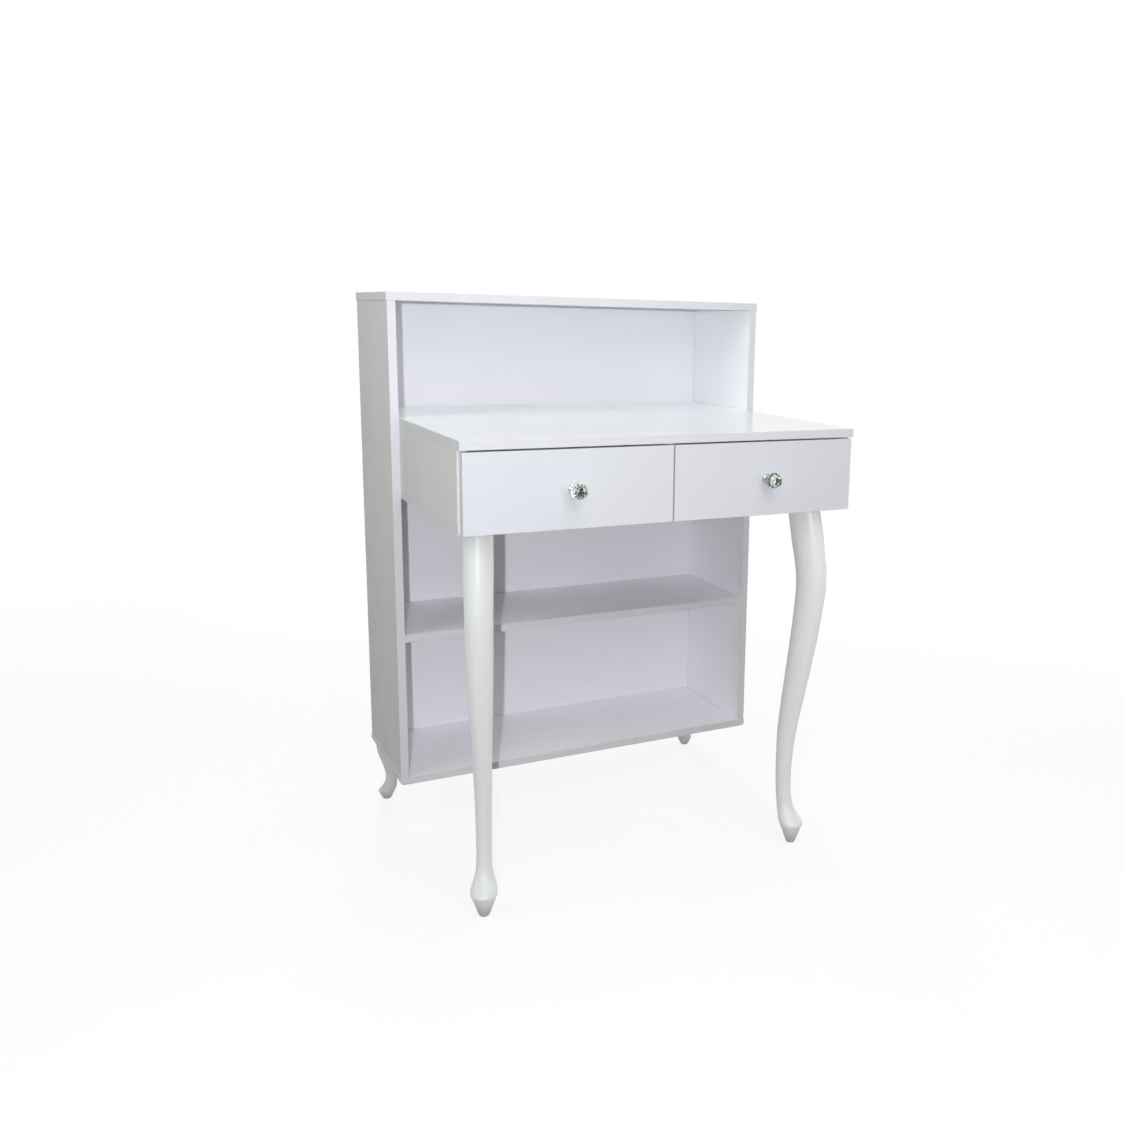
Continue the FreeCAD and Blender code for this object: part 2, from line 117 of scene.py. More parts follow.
def makeMelamine(name, colours, roughness, shine=0.5):
    # White melamine, printed paper pressed on chipboard with a pearl plate: an even satin white,
    # a broad soft highlight and a fine pebble that only shows near a reflection.
    look = {"cloud": 140, "smear": 45, "pebble": 1.6, "pebbleDepth": 0.03}  # pebble drawn coarser to show
    material, tree, shader, place = startMaterial(name, IOR=1.5, Specular_IOR_Level=shine)
    cloud = addNode(tree, "TexNoise", {"Vector": place, "Scale": grain(look["cloud"]), "Detail": 3.0})
    smear = addNode(tree, "TexNoise", {"Vector": place, "Scale": grain(look["smear"]), "Detail": 5.0})
    pebble = addNode(tree, "TexNoise", {"Vector": place, "Scale": grain(look["pebble"]), "Detail": 2.0})
    dressShader(tree, shader, cloud.outputs["Fac"], colours, smear.outputs["Fac"], roughness,
                pebble.outputs["Fac"], strength=0.5, depth=look["pebbleDepth"])
    return material


def makeEdgeBand():
    # ABS edge strip, extruded and glued round the board: a little greyer than most faces, with a soft
    # shine and faint lines where it was trimmed.
    look = {"line": 3.0, "lineDepth": 0.02, "cloud": 60, "colours": ("#D4D6D9", "#CED0D4"),
            "roughness": (0.3, 0.4)}
    material, tree, shader, place = startMaterial("abs_edge_strip", IOR=1.52, Specular_IOR_Level=0.25)
    cloud = addNode(tree, "TexNoise", {"Vector": place, "Scale": grain(look["cloud"]), "Detail": 2.0})
    line = addNode(tree, "TexNoise", {"Vector": place, "Scale": grain(look["line"]), "Detail": 4.0})
    dressShader(tree, shader, cloud.outputs["Fac"], look["colours"], line.outputs["Fac"], look["roughness"],
                line.outputs["Fac"], strength=0.4, depth=look["lineDepth"])
    return material


def makeLacquer(name, colours):
    # Satin lacquer sprayed on carved wood: a clear soft highlight along the curve, slight orange peel,
    # and the wood's lengthwise grain just showing through.
    look = {"peel": 4.0, "peelDepth": 0.05, "grainWidth": 3.0, "grainStretch": 0.05, "cloud": 90,
            "roughness": (0.34, 0.42)}
    material, tree, shader, place = startMaterial(name, IOR=1.5, Specular_IOR_Level=0.35,
                                                  Diffuse_Roughness=0.5)
    along = addNode(tree, "Mapping", {"Vector": place, "Scale": (1.0, 1.0, look["grainStretch"])})
    fibre = addNode(tree, "TexNoise", {"Vector": along.outputs["Vector"], "Scale": grain(look["grainWidth"]),
                                       "Detail": 3.0})
    peel = addNode(tree, "TexNoise", {"Vector": place, "Scale": grain(look["peel"]), "Detail": 1.0})
    cloud = addNode(tree, "TexNoise", {"Vector": place, "Scale": grain(look["cloud"]), "Detail": 2.0})
    height = addNode(tree, "Math", {0: peel.outputs["Fac"], 1: fibre.outputs["Fac"]}, operation="ADD")
    dressShader(tree, shader, fibre.outputs["Fac"], colours, cloud.outputs["Fac"], look["roughness"],
                height.outputs["Value"], strength=0.35, depth=look["peelDepth"])
    return material


def makeHardboard():
    # Bare underside of hardboard: pressed wood fibre, brown with the mesh of the press screen.
    look = {"mesh": 1.8, "meshDepth": 0.15, "meshJitter": 0.15, "fibre": 7.0,
            "colours": ("#8C6B4A", "#6A4C31"), "roughness": (0.6, 0.8)}
    material, tree, shader, place = startMaterial("bare_hardboard", IOR=1.45)
    mesh = addNode(tree, "TexVoronoi", {"Vector": place, "Scale": grain(look["mesh"]),
                                        "Randomness": look["meshJitter"]})
    fibre = addNode(tree, "TexNoise", {"Vector": place, "Scale": grain(look["fibre"]), "Detail": 8.0})
    dressShader(tree, shader, fibre.outputs["Fac"], look["colours"], fibre.outputs["Fac"], look["roughness"],
                mesh.outputs["Distance"], strength=0.6, depth=look["meshDepth"])
    return material


def makeMetal(name, colours, roughness, spot, mark):
    # Plated or turned metal: spots differ a little in tone, and fine marks of rolling, polishing or
    # turning blur the reflection.
    look = {"markStretch": 0.04, "markDepth": 0.02}
    material, tree, shader, place = startMaterial(name, Metallic=1.0)
    spots = addNode(tree, "TexVoronoi", {"Vector": place, "Scale": grain(spot)})
    tone = addNode(tree, "SeparateColor", {"Color": spots.outputs["Color"]})
    along = addNode(tree, "Mapping", {"Vector": place, "Scale": (1.0, look["markStretch"], 1.0)})
    marks = addNode(tree, "TexNoise", {"Vector": along.outputs["Vector"], "Scale": grain(mark),
                                       "Detail": 4.0})
    dressShader(tree, shader, tone.outputs["Red"], colours, marks.outputs["Fac"], roughness,
                marks.outputs["Fac"], strength=0.15, depth=look["markDepth"])
    return material


def makeCrystal():
    # Cut lead crystal, polished: clear with a faint grey-green body, so the facets bend and darken
    # what lies behind them.
    look = {"stria": 9.0, "colours": ("#F6F9F9", "#EAF0EF"), "roughness": (0.0, 0.02)}
    material, tree, shader, place = startMaterial("cut_crystal", IOR=1.545, Transmission_Weight=1.0)
    stria = addNode(tree, "TexNoise", {"Vector": place, "Scale": grain(look["stria"]), "Detail": 1.0})
    dressShader(tree, shader, stria.outputs["Fac"], look["colours"], stria.outputs["Fac"], look["roughness"])
    return material


def makeFoil():
    # Silvering on the back facets of the crystal, a mirror whose patches in tones from grey-teal to
    # white are painted reflections, so that the knob glitters; a yellow-green tint, also painted, varies by
    # patch.
    look = {"patch": 3.6, "colours": ("#9CA8AA", "#FCFDFD"), "tint": "#EFEEDC", "roughness": (0.02, 0.08)}
    material, tree, shader, place = startMaterial("silvered_facet", Metallic=1.0)
    patch = addNode(tree, "TexVoronoi", {"Vector": place, "Scale": grain(look["patch"])})
    share = addNode(tree, "SeparateColor", {"Color": patch.outputs["Color"]})
    dressShader(tree, shader, share.outputs["Red"], look["colours"], share.outputs["Green"],
                look["roughness"])
    reflectionTones = shader.inputs["Base Color"].links[0].from_socket
    tinted = addNode(tree, "Mix", {mixFactor: share.outputs["Blue"], mixFirst: reflectionTones,
                                   mixSecond: linear(look["tint"])}, data_type="RGBA", blend_type="MULTIPLY")
    tree.links.new(tinted.outputs[mixResult], shader.inputs["Base Color"])
    return material


def makeFlecked(name, look):  # one fine noise gives the tone, the gloss and the bump
    material, tree, shader, place = startMaterial(name, IOR=look["ior"])
    fleck = addNode(tree, "TexNoise", {"Vector": place, "Scale": grain(look["fleck"]), "Detail": 6.0})
    dressShader(tree, shader, fleck.outputs["Fac"], look["colours"], fleck.outputs["Fac"], look["roughness"],
                fleck.outputs["Fac"], strength=look["bump"], depth=look["fleckDepth"])
    return material


# Bare beech dowel: pale pinkish brown with fine dark flecks.
beechLook = {"fleck": 1.2, "fleckDepth": 0.05, "bump": 0.3, "ior": 1.45, "colours": ("#D3AE84", "#B98C60"),
             "roughness": (0.5, 0.65)}
# Moulded polyethylene glide: waxy pale grey, scuffed dull by the floor.
polyethyleneLook = {"fleck": 2.0, "fleckDepth": 0.05, "bump": 0.4, "ior": 1.5,
                    "colours": ("#C9C7C3", "#A9A7A2"), "roughness": (0.4, 0.6)}

# One white melamine, in copies whose tints paint light and shade: painted shade makes the drawer fronts, the
# outer faces and the back panel's inside greyer, and painted light makes the inside faces and the worktop
# whiter.
melamine = makeMelamine("satin_melamine", ("#DFE0E1", "#D9DADC"), (0.34, 0.44), shine=0.12)  # outer boards
frontMelamine = makeMelamine("front_melamine", ("#D0D3D8", "#CBCED4"), (0.32, 0.42))
innerMelamine = makeMelamine("inner_melamine", ("#F7F7FB", "#F3F3F8"), (0.32, 0.42))
backMelamine = makeMelamine("back_melamine", ("#DFE0E5", "#DADBE1"), (0.32, 0.42))
worktopMelamine = makeMelamine("brightened_melamine", ("#FAFCFC", "#F7F9F9"), (0.155, 0.16))  # whiter tint is painted light; lower roughness gives a semi-gloss
edgeBand = makeEdgeBand()
# The right lacquer is a whiter copy of the left one: its tint paints the extra light that falls on the right
# leg and foot.
lacquer = {"left": makeLacquer("satin_lacquer", ("#D8DBDA", "#D2D5D4")),
           "right": makeLacquer("brightened_lacquer", ("#E1E4E3", "#DBDEDD"))}
hardboard = makeHardboard()
# The chrome's grey tones paint the darker surroundings it would mirror, as painted reflection.
chrome = makeMetal("polished_chrome", ("#B4B8BB", "#8B9094"), (0.05, 0.11), spot=6.0, mark=0.8)
runnerSteel = makeMetal("zinc_plated_strip", ("#C3C6C9", "#B5B9BD"), (0.26, 0.4), spot=5.0, mark=0.6)
screwSteel = makeMetal("zinc_plated_screw", ("#C9C9C5", "#B3B2AC"), (0.22, 0.36), spot=1.5, mark=0.4)
brass = makeMetal("turned_brass", ("#C9A25A", "#B48C46"), (0.25, 0.38), spot=2.0, mark=0.5)
crystal = makeCrystal()
foil = makeFoil()
beech = makeFlecked("bare_beech", beechLook)
glidePlastic = makeFlecked("moulded_polyethylene", polyethyleneLook)
print("materials made")


# mesh helpers

def boxMesh(low, high):
    bm = bmesh.new()
    bmesh.ops.create_cube(bm, size=1.0)
    bmesh.ops.scale(bm, vec=high - low, verts=bm.verts)
    bmesh.ops.translate(bm, vec=(low + high) / 2, verts=bm.verts)
    return bm


def pushedSection(corners, way):  # a bar, from the outline of its end
    bm = bmesh.new()
    end = bm.faces.new([bm.verts.new(corner) for corner in corners])
    pushed = bmesh.ops.extrude_face_region(bm, geom=[end], use_keep_orig=True)["geom"]
    bmesh.ops.translate(bm, vec=way, verts=[v for v in pushed if isinstance(v, bmesh.types.BMVert)])
    bmesh.ops.recalc_face_normals(bm, faces=bm.faces)
    return bm


def pulledLoop(bm, edges):  # the points and edges of the loop that an extrusion adds
    grown = bmesh.ops.extrude_edge_only(bm, edges=edges)["geom"]
    ring = [v for v in grown if isinstance(v, bmesh.types.BMVert)]
    loop = [e for e in grown if isinstance(e, bmesh.types.BMEdge) and all(v in ring for v in e.verts)]
    return ring, loop


def edgesAround(ring):  # each edge once, in a fixed order
    return list(dict.fromkeys(e for v in ring for e in v.link_edges))


def softenEdges(bm, edges, width, steps):  # width in millimetres
    bmesh.ops.bevel(bm, geom=edges, offset=width * mm, offset_type="OFFSET", affect="EDGES", segments=steps,
                    profile=0.5, material=-1, clamp_overlap=True)


def finishPiece(bm, node, ending, materials, body="desk", smooth=False):
    name = f"{node}_{ending}"
    mesh = bpy.data.meshes.new(name)
    for face in bm.faces:
        face.smooth = smooth
    bm.to_mesh(mesh)
    bm.free()
    for material in materials:
        mesh.materials.append(material)
    piece = bpy.data.objects.new(name, mesh)
    bpy.context.scene.collection.objects.link(piece)
    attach(piece, body)
    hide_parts(node)


def solidBoxes(node):  # the box of each separate solid in a node
    weld = 0.01 * mm
    bm = bmesh.new()
    bm.from_mesh(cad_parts[node].data)
    bmesh.ops.remove_doubles(bm, verts=bm.verts, dist=weld)
    waiting = set(bm.verts)
    boxes = []
    while waiting:
        reached = [waiting.pop()]
        found = []
        while reached:
            vert = reached.pop()
            found.append(vert.co.copy())
            for edge in vert.link_edges:
                neighbour = edge.other_vert(vert)
                if neighbour in waiting:
                    waiting.remove(neighbour)
                    reached.append(neighbour)
        low = Vector([min(point[i] for point in found) for i in range(3)])
        high = Vector([max(point[i] for point in found) for i in range(3)])
        boxes.append((low, high))
    bm.free()
    return sorted(boxes, key=lambda corners: tuple(round(value, 5) for value in corners[0]))


# boards with glued edge strips

boardLook = {"corner": 0.7, "cornerSteps": 3, "strip": 1.2, "endRound": 8, "endSteps": 6}
deskMiddle = (Vector(cadBox[0]) + Vector(cadBox[1])) / 2


def bandedBoard(node, face, body="desk", roundEnds=False, outside=None):
    low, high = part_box(node)
    size = high - low
    thin = min(range(3), key=lambda i: size[i])
    bm = boxMesh(low, high)
    if roundEnds:
        under = [e for e in bm.edges if all(v.co.z < low.z + mm for v in e.verts)
                 and abs(e.verts[0].co.x - e.verts[1].co.x) < mm]
        softenEdges(bm, under, boardLook["endRound"], boardLook["endSteps"])
    broad = [f for f in bm.faces if abs(f.normal[thin]) > facing]
    for f in bm.faces:
        away = f.normal.dot((low + high) / 2 - deskMiddle) > 0
        f.material_index = (2 if outside and away else 0) if f in broad else 1
    rim = bmesh.ops.inset_individual(bm, faces=broad, thickness=boardLook["strip"] * mm, depth=0.0)
    for f in rim["faces"]:
        f.material_index = 1
    corners = [e for e in bm.edges if e.calc_face_angle(0.0) > sharp]
    softenEdges(bm, corners, boardLook["corner"], boardLook["cornerSteps"])
    finishPiece(bm, node, "banded", [face, edgeBand, outside or face], body)


# The inside and outside faces of one board take different melamine copies, so their tints paint light and
# shade on the board.
for node in ("case_left_side", "case_right_side", "case_divider", "case_bottom"):
    bandedBoard(node, melamine)
bandedBoard("top_panel", melamine, outside=worktopMelamine)
bandedBoard("worktop", worktopMelamine)
bandedBoard("middle_shelf", innerMelamine)
bandedBoard("bottom_panel", innerMelamine, roundEnds=True)
bandedBoard("back_panel", backMelamine, outside=melamine)
for side in sides:
    bandedBoard(side + "_side_panel", innerMelamine, outside=melamine)
    bandedBoard(side + "_drawer_front", frontMelamine, side + "_drawer")
print("boards made")


# drawer boxes, grooved for the thin bottom

drawerLook = {"corner": 0.6, "sheetCorner": 0.3, "cornerSteps": 2, "play": 0.2}


def groovedBoard(node, sheetNode, body):
    low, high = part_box(node)
    sheetLow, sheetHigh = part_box(sheetNode)
    size = high - low
    thin = min(range(3), key=lambda i: size[i])
    run = 1 - thin  # the axis along the board
    inward = (sheetLow + sheetHigh)[thin] > (low + high)[thin]
    inner, outer = (high[thin], low[thin]) if inward else (low[thin], high[thin])
    depth = sheetLow[thin] if inward else sheetHigh[thin]
    play = drawerLook["play"] * mm
    groove = (sheetLow.z - play, sheetHigh.z + play)
    way = Vector((0, 0, 0))
    if sheetLow[run] < low[run]:  # the groove runs out at both ends
        way[run] = size[run]
        outline = [(outer, low.z), (inner, low.z), (inner, groove[0]), (depth, groove[0]),
                   (depth, groove[1]), (inner, groove[1]), (inner, high.z), (outer, high.z)]
        corners = []
        for across, level in outline:
            corner = low.copy()
            corner[thin] = across
            corner.z = level
            corners.append(corner)
        bm = pushedSection(corners, way)
    else:  # the groove stops short of the ends
        way[thin] = depth - inner
        bm = boxMesh(low, high)
        cuts = {2: groove, run: (sheetLow[run] - play, sheetHigh[run] + play)}
        for axis, levels in cuts.items():
            normal = Vector((0, 0, 0))
            normal[axis] = 1
            for level in levels:
                everything = bm.verts[:] + bm.edges[:] + bm.faces[:]
                bmesh.ops.bisect_plane(bm, geom=everything, plane_co=normal * level, plane_no=normal)
        strip = []
        for f in bm.faces:
            centre = f.calc_center_median()
            between = all(levels[0] < centre[axis] < levels[1] for axis, levels in cuts.items())
            if between and abs(centre[thin] - inner) < near:
                strip.append(f)
        pocket = bmesh.ops.extrude_discrete_faces(bm, faces=strip)["faces"]
        bmesh.ops.translate(bm, vec=way, verts=[v for f in pocket for v in f.verts])
        bmesh.ops.recalc_face_normals(bm, faces=bm.faces)
    for f in bm.faces:
        onTop = f.normal.z > facing and f.calc_center_median().z > high.z - mm
        f.material_index = 1 if onTop else 0
    rims = [e for e in bm.edges if e.calc_face_angle(0.0) > sharp
            and all(v.co.z > high.z - mm for v in e.verts)]
    softenEdges(bm, rims, drawerLook["corner"], drawerLook["cornerSteps"])
    finishPiece(bm, node, "grooved", [melamine, edgeBand], body)


def coatedSheet(node, body):  # white above, bare hardboard below
    bm = boxMesh(*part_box(node))
    softenEdges(bm, bm.edges[:], drawerLook["sheetCorner"], drawerLook["cornerSteps"])
    for f in bm.faces:
        f.material_index = 0 if f.normal.z > facing else 1
    finishPiece(bm, node, "coated", [melamine, hardboard], body)


for side in sides:
    drawer = side + "_drawer"
    for part in ("box_front", "back", "left_side", "right_side"):
        groovedBoard(f"{drawer}_{part}", drawer + "_bottom", drawer)
    coatedSheet(drawer + "_bottom", drawer)
print("drawer boxes made")


# glides nailed under the tips of the legs

glideLook = {"height": 3, "sides": 40, "corner": 1.0, "cornerSteps": 3}
glideSpots = []
glides = bmesh.new()
for low, high in solidBoxes("floor_glides"):
    spot = (low + high) / 2
    radius = (high.x - low.x) / 2
    lift = Matrix.Translation((spot.x, spot.y, glideLook["height"] * mm / 2))
    bmesh.ops.create_cone(glides, cap_ends=True, segments=glideLook["sides"], radius1=radius, radius2=radius,
                          depth=glideLook["height"] * mm, matrix=lift)
    glideSpots.append(spot)
floorRims = [e for e in glides.edges if e.calc_face_angle(0.0) > sharp and all(v.co.z < mm for v in e.verts)]
softenEdges(glides, floorRims, glideLook["corner"], glideLook["cornerSteps"])
finishPiece(glides, "floor_glides", "moulded", [glidePlastic])


# curved legs

# Each station is (height, offset towards the toe, half depth, half width) in millimetres, from the top
# down to the toe's rim. A crowding below 1 sets the rings closer towards the toe.
frontLeg = {
    "splay": 20, "rings": 110, "crowding": 0.8, "sides": 48, "tip": 10, "rimRound": 0.8, "rimSteps": 3,
    "stations": [(722, 0, 36, 26), (658, 13, 37, 26), (573, 26, 33, 24.8), (488, 19, 30.5, 23.6),
                 (398, 5.5, 28, 21.2), (318, -8.2, 25, 18.2), (243, -20, 21.5, 16), (178, -24.6, 18, 14.6),
                 (116, -24.2, 16.8, 14), (88, -20.5, 17, 14.6), (74, -17, 18.2, 16.5), (60, -10.5, 20.5, 21),
                 (50, -4.5, 23.6, 24), (42, 0, 24.5, 24.5)],
}
rearFoot = {
    "splay": 45, "rings": 48, "crowding": 0.8, "sides": 48, "tip": 10.5, "rimRound": 0.8, "rimSteps": 3,
    "stations": [(134, 0, 19.5, 19.5), (118, -1.5, 19.8, 19.6), (104, -4.5, 19, 18.6), (92, -8, 17.4, 17),
                 (80, -10.8, 15.6, 15.2), (68, -12.3, 13.6, 13), (56, -13.2, 12.2, 11.8),
                 (46, -12.4, 12.6, 12.2), (38, -10.4, 14, 13.6), (30, -7, 16, 15.8), (24, -3.4, 17.4, 17.2),
                 (19.5, 0, 18.2, 18.2)],
}


def easedStation(stations, height):  # offset, half depth and half width on a smooth curve
    last = len(stations) - 1
    upper = next(i for i in range(last) if height >= stations[i + 1][0])

    def slope(i, column):
        before, after = stations[max(i - 1, 0)], stations[min(i + 1, last)]
        return (after[column] - before[column]) / (after[0] - before[0])

    start, end = stations[upper], stations[upper + 1]
    step = end[0] - start[0]
    t = (height - start[0]) / step
    rise = 3 * t ** 2 - 2 * t ** 3
    leave = (t ** 3 - 2 * t ** 2 + t) * step
    arrive = (t ** 3 - t ** 2) * step
    values = []
    for column in (1, 2, 3):
        eased = (1 - rise) * start[column] + rise * end[column]
        values.append(eased + leave * slope(upper, column) + arrive * slope(upper + 1, column))
    return values


def ovalRing(bm, height, offset, halfDepth, halfWidth, count):
    ring = bmesh.ops.create_circle(bm, segments=count, radius=1.0, cap_ends=False)["verts"]
    oval = Matrix.Diagonal((halfDepth * mm, halfWidth * mm, 1, 1))
    bmesh.ops.transform(bm, matrix=Matrix.Translation((offset * mm, 0, height * mm)) @ oval, verts=ring)
    return edgesAround(ring)


def curvedLeg(node, look, spot, direction, finish):
    top = look["stations"][0][0]
    rim = look["stations"][-1][0]
    bm = bmesh.new()
    rings = []
    for i in range(look["rings"] + 1):
        height = top + (rim - top) * (i / look["rings"]) ** look["crowding"]
        rings.append(ovalRing(bm, height, *easedStation(look["stations"], height), look["sides"]))
    rings.append(ovalRing(bm, glideLook["height"], 0, look["tip"], look["tip"], look["sides"]))
    for upper, lower in zip(rings, rings[1:]):
        bmesh.ops.bridge_loops(bm, edges=upper + lower)
    bmesh.ops.edgeloop_fill(bm, edges=rings[0])
    bmesh.ops.edgeloop_fill(bm, edges=rings[-1])
    bmesh.ops.recalc_face_normals(bm, faces=bm.faces)
    softenEdges(bm, rings[-2], look["rimRound"], look["rimSteps"])
    turn = Matrix.Translation((spot.x, spot.y, 0)) @ Matrix.Rotation(math.radians(direction), 4, "Z")
    bmesh.ops.transform(bm, matrix=turn, verts=bm.verts)
    finishPiece(bm, node, "carved", [finish], smooth=True)


for side, sign in zip(sides, (-1, 1)):
    front = min((s for s in glideSpots if s.x * sign > 0), key=lambda s: s.y)
    rear = max((s for s in glideSpots if s.x * sign > 0), key=lambda s: s.y)
    curvedLeg(side + "_front_leg", frontLeg, front, -90 + sign * frontLeg["splay"], lacquer[side])
    curvedLeg(side + "_rear_foot", rearFoot, rear, 90 - sign * rearFoot["splay"], lacquer[side])
print("legs and glides made")


# crystal knobs, in millimetres

knobLook = {
    "steps": 48, "weld": 0.02,
    # (radius, distance from the drawer front) of the turned base, from the foot to the inside of the cup
    "base": [(0.01, 0), (8.6, 0), (9, 0.4), (9, 1.4), (8.5, 2.1), (6.4, 2.6), (5, 3.4), (4.5, 5), (4.4, 8),
             (4.7, 10.4), (6.2, 11.8), (8, 12.8), (8.5, 13.4), (8.5, 14.6), (8.2, 15), (7.9, 14.6),
             (0.01, 14.6)],
    # (radius, distance, count, half steps turned) of the crystal's corners, from the back to the table
    "crystal": [(7.8, 15, 12, 0), (13.2, 21.5, 12, 1), (14.8, 26, 24, 0.5), (14.8, 27.6, 24, 0.5),
                (12.6, 34.5, 12, 1), (8.4, 42, 12, 0)],
    "halfStep": math.pi / 12, "flatWithin": math.radians(1), "foilLimit": 25.9,
}


def knobPlace(base):
    low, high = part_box(base)
    face = Vector(((low.x + high.x) / 2, high.y, (low.z + high.z) / 2))
    return Matrix.Translation(face) @ Matrix.Rotation(math.radians(90), 4, "X")


def turnedBase(node, body):
    bm = bmesh.new()
    verts = [bm.verts.new((radius * mm, 0, distance * mm)) for radius, distance in knobLook["base"]]
    edges = [bm.edges.new(pair) for pair in zip(verts, verts[1:])]
    bmesh.ops.spin(bm, geom=verts + edges, cent=(0, 0, 0), axis=(0, 0, 1), angle=math.tau,
                   steps=knobLook["steps"], use_merge=True, use_duplicate=False)
    bmesh.ops.remove_doubles(bm, verts=bm.verts, dist=knobLook["weld"] * mm)
    bmesh.ops.recalc_face_normals(bm, faces=bm.faces)
    bmesh.ops.transform(bm, matrix=knobPlace(node), verts=bm.verts)
    finishPiece(bm, node, "turned", [chrome], body, smooth=True)


def cutCrystal(node, base, body):
    bm = bmesh.new()
    for radius, distance, count, turn in knobLook["crystal"]:
        turned = Matrix.Rotation(turn * knobLook["halfStep"], 4, "Z")
        place = Matrix.Translation((0, 0, distance * mm)) @ turned
        bmesh.ops.create_circle(bm, segments=count, radius=radius * mm, cap_ends=False, matrix=place)
    bmesh.ops.delete(bm, geom=bm.edges[:], context="EDGES_FACES")
    bmesh.ops.convex_hull(bm, input=bm.verts[:])
    bmesh.ops.dissolve_limit(bm, angle_limit=knobLook["flatWithin"], verts=bm.verts, edges=bm.edges)
    bmesh.ops.recalc_face_normals(bm, faces=bm.faces)
    for f in bm.faces:
        f.material_index = 1 if f.calc_center_median().z < knobLook["foilLimit"] * mm else 0
    bmesh.ops.transform(bm, matrix=knobPlace(base), verts=bm.verts)
    finishPiece(bm, node, "cut", [crystal, foil], body)


for side in sides:
    turnedBase(side + "_knob_base", side + "_drawer")
    cutCrystal(side + "_knob_crystal", side + "_knob_base", side + "_drawer")
print("knobs made")


# telescopic runners, rolled from strip

runnerLook = {"wall": 1.2, "bend": 0.9, "bendSteps": 3}


def rolledChannel(node, webHigh, body):
    low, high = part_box(node)
    wall = runnerLook["wall"] * mm
    web, tip = (high.x, low.x) if webHigh else (low.x, high.x)
    inner = web - wall if webHigh else web + wall
    outline = [(tip, low.z), (web, low.z), (web, high.z), (tip, high.z),
               (tip, high.z - wall), (inner, high.z - wall), (inner, low.z + wall), (tip, low.z + wall)]
    bm = pushedSection([(x, low.y, z) for x, z in outline], (0, high.y - low.y, 0))
    bends = [e for e in bm.edges if abs(e.verts[0].co.y - e.verts[1].co.y) > mm
             and abs(e.verts[0].co.x - web) < near]
    softenEdges(bm, bends, runnerLook["bend"], runnerLook["bendSteps"])
    finishPiece(bm, node, "rolled", [runnerSteel], body)


for side in sides:
    for wallSide in sides:
        stem = f"{side}_drawer_{wallSide}_runner"
        rolledChannel(stem + "_outer", wallSide == "right", "desk")
        rolledChannel(stem + "_middle", wallSide == "right", stem + "_middle")
        rolledChannel(stem + "_inner", wallSide == "left", side + "_drawer")
print("runners made")


# screws

# For each group: head radius, head height, shank radius, drive, flat head, and the way its heads face
screwLook = {
    "case_bottom_screws": (5, 4, 3, "hex", True, "down"),
    "case_side_screws": (4, 2.4, 2, "cross", True, "middle"),
    "case_runner_screws": (3.5, 1.8, 1.75, "cross", False, "drawer"),
    "drawer_box_screws": (3.5, 2, 1.75, "cross", True, "outward"),
    "drawer_front_screws": (4, 2.4, 2, "cross", False, "back"),
    "drawer_runner_screws": (3.5, 1.8, 1.75, "cross", False, "outward"),
    "knob_screw": (4, 2.6, 2, "cross", False, "back"),
}
# Shares of the head's radius and height, and for the point of the length and the shank's radius
screwShape = {
    "sides": 24, "panTop": 0.72, "panShoulder": (0.94, 0.25), "panBrim": 0.6, "flatBrim": 0.1,
    "hexSocket": 0.5, "crossArm": 0.58, "crossBlade": 0.15, "recessDepth": 0.75, "recessTaper": 0.75,
    "pointStart": 0.85, "pointTip": 0.3,
}
bayMiddles = []
for side in sides:
    low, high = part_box(side + "_drawer_bottom")
    bayMiddles.append((low.x + high.x) / 2)


def recessLoop(made, drive, headRadius):
    if drive == "hex":
        socket = headRadius * screwShape["hexSocket"]
        return edgesAround(bmesh.ops.create_circle(made, segments=6, radius=socket, cap_ends=False)["verts"])
    arm = headRadius * screwShape["crossArm"]
    blade = headRadius * screwShape["crossBlade"]
    cross = []
    for quarter in range(4):
        spin = Matrix.Rotation(quarter * math.pi / 2, 3, "Z")
        for x, y in ((arm, -blade), (arm, blade), (blade, blade)):
            cross.append(made.verts.new(spin @ Vector((x, y, 0))))
    return [made.edges.new(pair) for pair in zip(cross, cross[1:] + cross[:1])]


